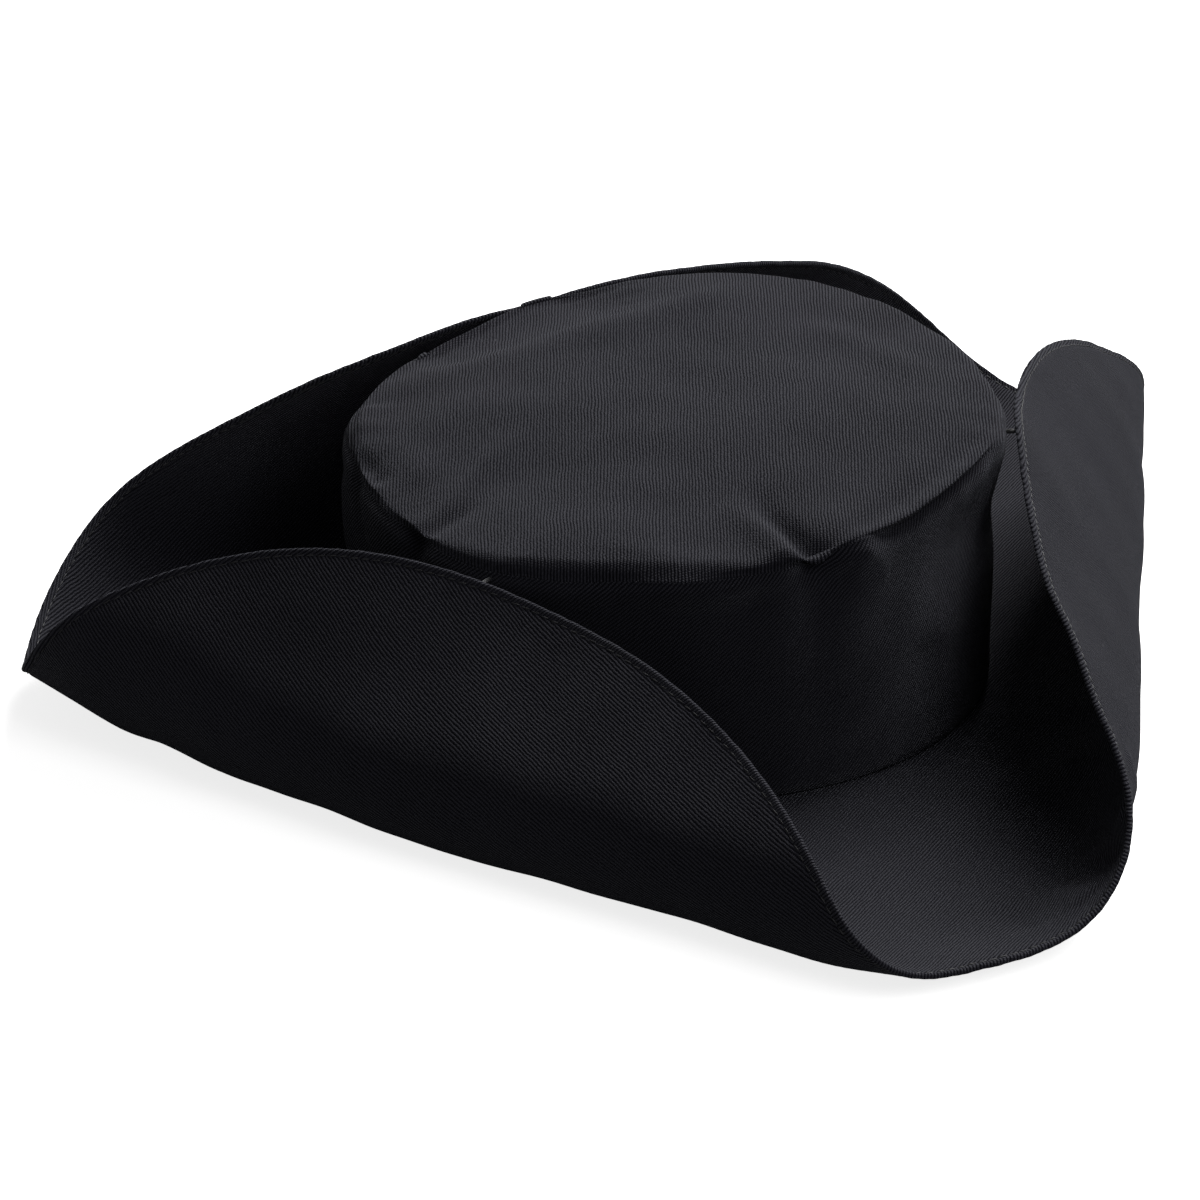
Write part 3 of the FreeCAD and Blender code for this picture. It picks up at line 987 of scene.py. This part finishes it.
# ---------------------------------------------------------------------------- the brim
@dataclass
class Brim:
    """The brim: an upper and an under cloth, a turned and stitched hem, and its stitches."""

    pattern: BrimPattern
    cloth: float = 0.6
    inner_inset: float = 1.4
    hem_band: float = 2.4
    groove: float = 0.26
    groove_width: float = 0.9
    typical_width: float = 110.0
    roll_over: float = 0.08
    tuck_in: float = 0.15
    rope_swell: float = 0.03
    rope_twist: float = 2.2
    kinks: Pucker = Pucker(0.04, 90, 260, 21)
    around: int = 480
    rows: int = 72
    hem_around: int = 2400
    stitch_pitch: float = 3.3
    stitch_length: float = 2.5
    thread_radius: float = 0.21
    upper_ribs: float = -84.0
    under_ribs: float = 23.0
    pieces: dict[str, bpy.types.Object] = field(default_factory=dict)

    def build(self) -> None:
        """Build every piece of the brim."""
        for side, name in ((Side.UPPER, "brim_upper_cloth"), (Side.UNDER, "brim_under_cloth")):
            self.pieces[name] = self._cloth(side, name)
        self.pieces["brim_hem"] = self._hem()
        for side, name in ((Side.UPPER, "hem_stitches_upper"), (Side.UNDER, "hem_stitches_under")):
            self.pieces[name] = self._stitches(side, name)

    def _shares(self, spread: float) -> Array:
        """Rows of the cloth, even at first and closer together over the stitched groove."""
        even = np.linspace(0.0, 1.0 - 3.0 * self.groove_width / spread, self.rows)
        close = 1.0 - self.groove_width * np.array([2.2, 1.6, 1.1, 0.7, 0.4, 0.15, 0.0]) / spread
        return np.concatenate([even, close])

    def _ribs(self, side: Side) -> float:
        """Heading of the ribs on one face."""
        return self.upper_ribs if side is Side.UPPER else self.under_ribs

    def _cloth(self, side: Side, name: str) -> bpy.types.Object:
        """One cloth of the brim, its outer face sinking into the stitched groove at the hem."""
        angle = 2.0 * np.pi * np.arange(self.around + 1) / self.around
        shares = self._shares(self.typical_width)[:, None]
        grid = self.pattern.surface(angle[None, :], shares, self.inner_inset, self.hem_band)
        from_edge = (1.0 - shares) * self.typical_width
        half = self.pattern.half_thickness(from_edge) - self.groove * bell(from_edge, self.groove_width)
        lift = side.value * half
        places = grid["point"] + grid["normal"] * lift[..., None]
        uv = weave_uv(grid["x"], grid["y"], self._ribs(side))
        piece = ring_piece(name, places[:, :-1], uv, flip=side is Side.UNDER)
        thicken(piece, self.cloth)
        return piece

    def _hem_section(self) -> tuple[Array, Array]:
        """Half of the hem's section: distance past the stitches and half thickness there.

        The hem rises out of the stitched groove to a full roll and closes in a half circle.
        """
        roll = self.pattern.edge_half + self.roll_over
        middle = self.hem_band - roll
        first = np.linspace(-self.tuck_in, middle, 6)
        turn = np.linspace(0.0, np.pi / 2.0, 8)[1:]
        bottom = self.pattern.edge_half - self.groove
        rise = bottom + (roll - bottom) * smooth(first / middle)
        past = np.concatenate([first, middle + roll * np.sin(turn)])
        return past, np.concatenate([rise, roll * np.cos(turn)])

    def _hem(self) -> bpy.types.Object:
        """The turned edge, a roll that swells between the stitches and leans like a rope."""
        angle = 2.0 * np.pi * np.arange(self.hem_around + 1) / self.hem_around
        edge = self.stitched_line(angle)
        past, half = self._hem_section()
        past = np.concatenate([past, past[-2::-1]])[:, None]
        half = np.concatenate([half, -half[-2::-1]])[:, None]
        count = self.stitch_count()
        lean = past / self.hem_band
        swell = np.cos(count * angle[None, :] + self.rope_twist * lean * np.sign(half + 1e-9))
        swell = swell * smooth((past + 0.2) / (self.hem_band / 2.0))
        thick = half * (1.0 - self.rope_swell * swell)
        kinks = self.kinks.beside(angle)[None, :] * lean
        reach = past + kinks - 2.0 / 3.0 * self.rope_swell * swell * lean
        places = (edge["point"] + edge["side"] * reach[..., None] + edge["normal"] * thick[..., None])
        flat_x = edge["x"] + np.cos(angle) * past
        flat_y = edge["y"] + np.sin(angle) * past
        uv = weave_uv(flat_x, flat_y, self.upper_ribs + 30.0)
        uv = np.concatenate([uv, uv[:1]])
        piece = ring_piece("brim_hem", places[:, :-1], uv, closed=True)
        proud = np.clip(lean * (0.6 - 0.4 * swell), 0.0, 1.0)
        set_ridge(piece, proud[:, :-1])
        return piece

    def stitched_line(self, angle: Array) -> dict[str, Array]:
        """Places and directions along the line of stitches, as BrimPattern.surface gives them."""
        return self.pattern.surface(angle, np.ones(angle.shape), self.inner_inset, self.hem_band)

    def stitch_count(self) -> int:
        """Number of stitches round the hem, from its length and the stitch pitch."""
        h = ((self.pattern.half_width - self.pattern.half_length)
             / (self.pattern.half_width + self.pattern.half_length)) ** 2
        length = math.pi * (self.pattern.half_width + self.pattern.half_length) * (1.0 + h / 4.0)
        return round(length / self.stitch_pitch)

    def _stitches(self, side: Side, name: str) -> bpy.types.Object:
        """The row of stitches in the groove of one face, each a little out of line."""
        count = self.stitch_count()
        random = np.random.default_rng(31)
        angle = 2.0 * np.pi * (np.arange(count) + 0.5 + random.normal(0.0, 0.03, count)) / count
        edge = self.stitched_line(angle)
        lift = side.value * (self.pattern.edge_half - self.groove + 0.05)
        stray = random.normal(0.0, 0.07, count)
        centre = edge["point"] + edge["normal"] * lift + edge["side"] * stray[:, None]
        slant = edge["along"] + edge["side"] * 0.12
        return stitch_row(name, centre, slant, edge["normal"] * side.value,
                          self.stitch_length, self.thread_radius)

    def dress(self, wardrobe: Wardrobe) -> None:
        """Put finishes on the brim and hand its pieces to the frame."""
        nodes = {"brim_upper_cloth": ("brim_upper_cloth", "brim_interlining"),
                 "brim_under_cloth": ("brim_under_cloth",), "brim_hem": ("brim_hem",)}
        slots = {"brim_upper_cloth": Slot.TWILL, "brim_under_cloth": Slot.TWILL, "brim_hem": Slot.HEM}
        for name, piece in self.pieces.items():
            slot = slots.get(name, Slot.THREAD)
            wardrobe.dress(piece, slot)
            hand_over(piece, slot, nodes.get(name, ()))


# ---------------------------------------------------------------------------- the crown
@dataclass
class Crown:
    """The crown: an outer tip and side that meet in a pinched seam, and their linings."""

    form: CrownForm
    pattern: BrimPattern
    cloth: float = 0.6
    lining: float = 0.3
    lining_inset: float = 1.7
    roll: float = 5.0
    seam_depth: float = 1.1
    edge_swell: float = 0.4
    edge_width: float = 2.5
    seam_reach: float = 14.0
    tip_sags: tuple[Sag, ...] = (Sag(0.5, 70.0, 13), Sag(0.12, 22.0, 14))
    tip_puckers: Pucker = Pucker(0.16, 22, 64, 15, 7.0)
    wall_sags: tuple[Sag, ...] = (Sag(0.7, 120.0, 16), Sag(0.16, 26.0, 17))
    wall_puckers: Pucker = Pucker(0.14, 22, 64, 15, 7.0)
    wall_gathers: Pucker = Pucker(0.22, 24, 52, 5, 9.0)
    wall_held: float = 12.0
    puff_below: float = 5.0
    puff_width: float = 4.0
    top_puff: float = 0.7
    foot_puff: float = 0.3
    shift_reach: float = 16.0
    crease_start: float = 6.0
    pucker_start: float = 2.0
    join_spread: float = 25.0
    turn_in: float = 1.9
    foot_tuck: float = 0.9
    foot_width: float = 1.5
    around: int = 480
    tip_rows: int = 84
    wall_rows: int = 70
    tip_ribs: float = -57.6
    wall_slant: float = 43.0
    pieces: dict[str, bpy.types.Object] = field(default_factory=dict)

    def build(self) -> None:
        """Build every piece of the crown."""
        self.pieces["crown_tip_shell"] = self._tip("crown_tip_shell", 0.0, self.around, self.tip_rows)
        self.pieces["crown_side_shell"] = self._wall("crown_side_shell", 0.0, self.around, self.wall_rows)
        inset = self.lining_inset
        self.pieces["crown_tip_lining"] = self._tip("crown_tip_lining", inset, 240, 40)
        self.pieces["crown_side_lining"] = self._wall("crown_side_lining", inset, 240, 36)

    def _seam(self, angle: Array) -> tuple[Array, Array]:
        """Radius and height of the line where the tip and the side are sewn together."""
        top = self.form.tip_height(angle, np.ones(angle.shape))
        out, up = self.form.seam_shift(angle)
        radius = self.form.radius(angle, top) + out - self.seam_depth
        return radius, top + up - self.roll * 0.42

    def _tip(self, name: str, inset: float, around: int, rows: int) -> bpy.types.Object:
        """The tip: a low dome with creases, rolling over to the seam near its edge.

        Heights blend from the smooth tip to the seam over the roll's width, as the square of
        the share of the roll that is passed.

        Args:
            name: Name of the piece.
            inset: Distance of this layer inside the outer one.
            around: Columns.
            rows: Rows from the middle outwards.

        Returns:
            The new piece, facing up, or down where it is a lining.
        """
        angle = (2.0 * np.pi * np.arange(around + 1) / around)[None, :]
        reach = np.linspace(0.02, 1.0, rows)
        share = (1.0 - (1.0 - reach) ** 1.25)[:, None]
        top = self.form.tip_height(angle, np.ones(angle.shape))
        seam_radius, seam_z = self._seam(angle)
        edge = self.form.radius(angle, top) + self.edge_swell
        from_seam = (1.0 - share) * self.form.half_width
        free = smooth(from_seam / self.roll)
        radius = share * (seam_radius + (edge - seam_radius) * smooth(from_seam / self.edge_width))
        x, y = radius * np.cos(angle), radius * np.sin(angle)
        folds = sum(crease.lift(x, y) for crease in self.form.tip_creases)
        sag = sum(sag.over(x, y) for sag in self.tip_sags)
        puckers = self.tip_puckers.beside(angle, from_seam)
        past = np.clip(1.0 - from_seam / self.roll, 0.0, 1.0)
        drop = past ** 2 * (top - seam_z)
        up = self.form.seam_shift(angle)[1]
        near = np.exp(-from_seam / self.seam_reach)
        z = self.form.tip_height(angle, share) - drop + (folds + sag + puckers) * free + up * near * free
        if inset:
            z = z - inset
            shrink = 1.0 - inset / self.form.half_width
            x, y = x * shrink, y * shrink
        places = np.stack([x, y, z], axis=-1)
        uv = weave_uv(x, y, self.tip_ribs)
        hub = places[0, :-1].mean(axis=0)
        piece = ring_piece(name, places[:, :-1], uv, flip=inset > 0.0, hub=hub)
        thicken(piece, self.lining if inset else self.cloth)
        return piece

    def _wall(self, name: str, inset: float, around: int, rows: int) -> bpy.types.Object:
        """The side: from the tip seam down to the brim, puffed out beside both seams.

        Args:
            name: Name of the piece.
            inset: Distance of this layer inside the outer one.
            around: Columns.
            rows: Rows from the top down.

        Returns:
            The new piece, facing outwards, or inwards where it is a lining.
        """
        angle = (2.0 * np.pi * np.arange(around + 1) / around)[None, :]
        share = np.linspace(0.0, 1.0, rows)
        share = (0.5 - 0.5 * np.cos(np.pi * share) + share)[:, None] / 2.0
        seam_radius, seam_z = self._seam(angle)
        flat_x, flat_y = self.pattern.flat(angle, np.zeros(angle.shape), 0.0, 0.0)
        foot = self.pattern.folded(flat_x, flat_y)[..., 2] + self.pattern.half_stack + 0.06
        z = seam_z + (foot - seam_z) * share
        below, above = seam_z - z, z - foot
        smooth_radius = self.form.radius(angle, z)
        out = self.form.seam_shift(angle)[0]
        arc = angle * self.form.half_width
        wrapped = turn_between(angle, 0.0)
        folds = sum(self._wall_lift(crease, wrapped, below) for crease in self.form.wall_creases)
        sag = sum(sag.over(arc, z) for sag in self.wall_sags)
        sag = sag * smooth(below / self.wall_held) * smooth(above / self.wall_held)
        sag = sag * (1.0 - bell(wrapped, self.join_spread))
        puckers = self.wall_puckers.beside(angle, below) * smooth(below / self.pucker_start)
        gathers = self.wall_gathers.beside(angle, above) * smooth(above / self.pucker_start)
        puff = self.top_puff * bell(below - self.puff_below, self.puff_width)
        puff = puff + self.foot_puff * bell(above - self.puff_below, self.puff_width)
        radius = smooth_radius - self.form.waist.depth_at(angle, z)
        radius = radius + out * np.exp(-below / self.shift_reach) + folds * smooth(above / self.crease_start)
        radius = radius + sag + puckers + gathers + puff
        radius = radius + (seam_radius - radius) * bell(below, self.turn_in)
        radius = radius - self.foot_tuck * bell(above, self.foot_width)
        if inset:
            radius = radius - inset
            z = seam_z - inset - 0.6 + (foot - seam_z + inset + 0.6) * share
        places = np.stack([radius * np.cos(angle), radius * np.sin(angle), z], axis=-1)
        uv = weave_uv(np.broadcast_to(arc, z.shape), z, self.wall_slant)
        piece = ring_piece(name, places[:, :-1], uv, flip=inset > 0.0)
        thicken(piece, self.lining if inset else self.cloth)
        return piece

    def _wall_lift(self, crease: Crease, azimuth: Array, below: Array) -> Array:
        """A crease of the wall, given as azimuths and distances below the seam."""
        per_degree = math.radians(self.form.half_width)
        first = crease.line[0][0]
        arc = ((azimuth - first + 180.0) % 360.0 - 180.0) * per_degree
        line = tuple(((turn - first) * per_degree, drop) for turn, drop in crease.line)
        moved = Crease(line, crease.width, crease.height, crease.fade_in, crease.fade_out)
        return moved.lift(np.broadcast_to(arc, below.shape), below)

    def dress(self, wardrobe: Wardrobe) -> None:
        """Put finishes on the crown and hand its pieces to the frame."""
        for part in ("tip", "side"):
            shell, lining = self.pieces[f"crown_{part}_shell"], self.pieces[f"crown_{part}_lining"]
            wardrobe.dress(shell, Slot.TWILL)
            hand_over(shell, Slot.TWILL, (f"crown_{part}_shell", f"crown_{part}_interlining"))
            wardrobe.dress(lining, Slot.LINING)
            hand_over(lining, Slot.LINING, (f"crown_{part}_lining",))


# ---------------------------------------------------------------------------- inside and tacks
@dataclass
class Headband:
    """The band inside the crown, with a flat lower edge and a stitched row above it."""

    form: CrownForm
    height: float = 32.0
    thick: float = 1.2
    inset: float = 2.3
    around: int = 360
    stitch_height: float = 4.5
    stitch_pitch: float = 3.6
    stitch_length: float = 2.7
    thread_radius: float = 0.22
    waves: Pucker = Pucker(0.5, 7, 30, 41)
    wave_start: float = 8.0
    dent: float = 0.25
    dent_width: float = 1.2
    pieces: dict[str, bpy.types.Object] = field(default_factory=dict)

    def _inner(self, angle: Array, z: Array) -> Array:
        """Radius of the band's inner face, waving a little towards its free upper edge."""
        wave = self.waves.beside(angle) * smooth((z - self.wave_start) / self.height)
        dent = self.dent * bell(z - self.stitch_height, self.dent_width)
        return self.form.radius(angle, z) - self.inset - self.thick + dent - np.abs(wave)

    def build(self) -> None:
        """Build the band as a closed section carried round, and its stitches."""
        rows = 18
        rise = np.linspace(0.0, 1.0, rows)
        z_in = self.height * (0.5 - 0.5 * np.cos(np.pi * rise))[:, None]
        angle = (2.0 * np.pi * np.arange(self.around + 1) / self.around)[None, :]
        inner = self._inner(angle, z_in)
        outer = inner + self.thick
        soften = 0.35 * (bell(z_in, 0.5) + bell(z_in - self.height, 0.5))
        ring_in = np.stack([(inner + soften) * np.cos(angle), (inner + soften) * np.sin(angle),
                            np.broadcast_to(z_in, inner.shape)], axis=-1)
        ring_out = np.stack([(outer - soften) * np.cos(angle), (outer - soften) * np.sin(angle),
                             np.broadcast_to(z_in, inner.shape)], axis=-1)
        places = np.concatenate([ring_in, ring_out[::-1]])
        arc = angle * (self.form.half_width - self.inset)
        v_in = weave_uv(np.broadcast_to(arc, inner.shape), np.broadcast_to(z_in, inner.shape), 0.0)
        uv = np.concatenate([v_in, v_in[::-1], v_in[:1]])
        self.pieces["sweatband"] = ring_piece("sweatband", places[:, :-1], uv, closed=True)
        count = round(2.0 * math.pi * self.form.half_width / self.stitch_pitch)
        turn = 2.0 * np.pi * np.arange(count) / count
        z = np.full(count, self.stitch_height)
        radius = self._inner(turn, z) - 0.02
        outward = np.stack([np.cos(turn), np.sin(turn), np.zeros(count)], axis=-1)
        along = np.stack([-np.sin(turn), np.cos(turn), np.zeros(count)], axis=-1)
        centre = outward * radius[:, None] + np.array([0.0, 0.0, 1.0]) * z[:, None]
        self.pieces["sweatband_stitches"] = stitch_row(
            "sweatband_stitches", centre, along, -outward, self.stitch_length, self.thread_radius)

    def dress(self, wardrobe: Wardrobe) -> None:
        """Put finishes on the band and hand its pieces to the frame."""
        band, stitches = self.pieces["sweatband"], self.pieces["sweatband_stitches"]
        wardrobe.dress(band, Slot.BAND)
        hand_over(band, Slot.BAND, ("sweatband",))
        wardrobe.dress(stitches, Slot.THREAD)
        hand_over(stitches, Slot.THREAD)


@dataclass
class ThreadTacks:
    """The bundles of thread that hold each flap's hem to the crown."""

    brim: Brim
    form: CrownForm
    flaps: tuple[tuple[str, float], ...] = (("back", 88.9), ("right", -153.0), ("left", -24.0))
    strands: int = 9
    strand_radius: float = 0.19
    spread: float = 0.55
    bite: float = 1.0
    pieces: dict[str, bpy.types.Object] = field(default_factory=dict)

    def _ends(self, azimuth: float) -> tuple[Array, Array]:
        """Where the hem and the wall come closest near an azimuth.

        Args:
            azimuth: Direction of the flap in degrees.

        Returns:
            The place on the wall and the stitched line of the hem there.
        """
        angle = np.radians(azimuth + np.linspace(-30.0, 30.0, 241))
        edge = self.brim.stitched_line(angle)
        hem = edge["point"]
        turn = np.arctan2(hem[:, 1], hem[:, 0])
        z = np.minimum(hem[:, 2], self.form.tip_height(turn, np.ones(turn.shape)) - 4.0)
        radius = self.form.radius(turn, z)
        wall = np.stack([radius * np.cos(turn), radius * np.sin(turn), z], axis=-1)
        best = np.argmin(np.linalg.norm(hem - wall, axis=1))
        return wall[best], hem[best]

    def build(self) -> None:
        """Build each tack: threads that spread in the middle and gather at both ends."""
        share = np.linspace(0.0, 1.0, 15)
        turn = 2.0 * np.pi * np.arange(self.strands) / self.strands
        for name, azimuth in self.flaps:
            wall, hem = self._ends(azimuth)
            axis = unit(hem - wall)
            start, end = wall - axis * self.bite, hem - axis * self.bite * 0.8
            first = unit(np.cross(axis, np.array([0.0, 0.0, 1.0])))
            second = np.cross(axis, first)
            swing = turn[:, None] + 1.4 * share[None, :]
            away = self.spread * (0.75 + 0.25 * np.cos(2.0 * np.pi * (share - 0.5)))
            away = away * np.where(np.arange(self.strands) == 0, 0.1, 1.0)[:, None]
            paths = start + (end - start) * share[None, :, None]
            paths = paths + first * (away * np.cos(swing))[..., None]
            paths = paths + second * (away * np.sin(swing))[..., None]
            self.pieces["tack_" + name] = strand_mesh("tack_" + name, paths, self.strand_radius)

    def dress(self, wardrobe: Wardrobe) -> None:
        """Put the thread finish on the tacks and hand them to the frame."""
        for name, piece in self.pieces.items():
            wardrobe.dress(piece, Slot.THREAD)
            hand_over(piece, Slot.THREAD, (name,))


# ---------------------------------------------------------------------------- studio
@dataclass(frozen=True)
class Softbox:
    """A soft square light: its bearing round the hat, height angle, distance, size and power."""

    name: str
    azimuth: float
    elevation: float
    distance: float
    size: float
    power: float

    def place(self, target: Vector) -> None:
        """Add the light, turned to the target."""
        turn, rise = math.radians(self.azimuth), math.radians(self.elevation)
        away = Vector((math.cos(turn) * math.cos(rise), math.sin(turn) * math.cos(rise), math.sin(rise)))
        data = bpy.data.lights.new(self.name, "AREA")
        data.shape = "SQUARE"
        data.size = self.size
        data.energy = self.power
        lamp = bpy.data.objects.new(self.name, data)
        bpy.context.scene.collection.objects.link(lamp)
        lamp.location = target + away * self.distance
        lamp.rotation_mode = "QUATERNION"
        lamp.rotation_quaternion = (-away).to_track_quat("-Z", "Y")


@dataclass
class Studio:
    """A pale floor, soft lights and the camera."""

    low: Vector
    high: Vector
    view_azimuth: float = -147.57
    view_elevation: float = 24.63
    distance: float = 1.7
    lens: float = 171.56
    target_from_middle: tuple[float, float, float] = (0.0362, 0.0466, -0.0260)
    floor_size: float = 6.0
    floor_glow: float = 0.8
    world: float = 0.10
    lights: tuple[Softbox, ...] = (
        Softbox("key_behind", -92.0, 48.0, 1.7, 1.0, 43.0),
        Softbox("side_right", 158.0, 40.0, 1.8, 0.9, 8.0),
        Softbox("front_fill", 110.0, 14.0, 2.0, 1.2, 1.6),
    )

    def build(self) -> None:
        """Build the studio round the hat."""
        middle = (self.low + self.high) / 2.0
        self._floor()
        for light in self.lights:
            light.place(middle)
        self._camera(middle + Vector(self.target_from_middle))
        sky = bpy.data.worlds.new("studio_sky")
        sky.use_nodes = True
        sky.node_tree.nodes["Background"].inputs["Color"].default_value = (1.0, 1.0, 1.0, 1.0)
        sky.node_tree.nodes["Background"].inputs["Strength"].default_value = self.world
        bpy.context.scene.world = sky
        bpy.context.scene.view_settings.view_transform = "Standard"

    def _camera(self, target: Vector) -> None:
        """Add the camera at its bearing and height angle."""
        turn, rise = math.radians(self.view_azimuth), math.radians(self.view_elevation)
        back = Vector((math.sin(turn) * math.cos(rise), -math.cos(turn) * math.cos(rise), math.sin(rise)))
        data = bpy.data.cameras.new("camera")
        data.lens = self.lens
        camera = bpy.data.objects.new("camera", data)
        bpy.context.scene.collection.objects.link(camera)
        camera.location = target + back * self.distance
        camera.rotation_mode = "QUATERNION"
        camera.rotation_quaternion = (-back).to_track_quat("-Z", "Y")
        bpy.context.scene.camera = camera

    def _floor(self) -> None:
        """Add the floor, which looks pale but gives little light back to the hat."""
        half = self.floor_size / 2.0
        corners = np.array([[-half, -half, 0.0], [half, -half, 0.0], [half, half, 0.0], [-half, half, 0.0]])
        corners[:, 2] = self.low.z - 0.0002
        floor = put_mesh("floor", corners / MM, [np.array([[0, 1, 2, 3]])], [np.zeros((1, 4, 2))])
        made = bpy.data.materials.new("pale_floor")
        made.use_nodes = True
        bench = NodeBench(made.node_tree)
        shader = made.node_tree.nodes["Principled BSDF"]
        seen = bench.add("ShaderNodeLightPath")
        dim, pale = (0.22, 0.22, 0.22, 1.0), (0.92, 0.92, 0.92, 1.0)
        bench.feed(shader.inputs["Base Color"], bench.mix_color(seen.outputs["Is Camera Ray"], dim, pale))
        shader.inputs["Roughness"].default_value = 0.9
        glow = bench.mix_color(seen.outputs["Is Camera Ray"], (0.0, 0.0, 0.0, 1.0), (1.0, 1.0, 1.0, 1.0))
        bench.feed(shader.inputs["Emission Color"], glow)
        shader.inputs["Emission Strength"].default_value = self.floor_glow
        floor.data.materials.append(made)
        floor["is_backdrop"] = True


def main() -> None:
    """Build the studio and the hat, sub-assembly by sub-assembly."""
    logging.basicConfig(level=logging.INFO, format="%(name)s %(message)s")
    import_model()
    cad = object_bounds()
    Studio(*cad).build()
    wardrobe = Wardrobe()
    wardrobe.build()
    pattern, form = BrimPattern(), CrownForm()
    brim = Brim(pattern)
    for part in (brim, Crown(form, pattern), Headband(form), ThreadTacks(brim, form)):
        part.build()
        part.dress(wardrobe)


if __name__ == "__main__":
    main()
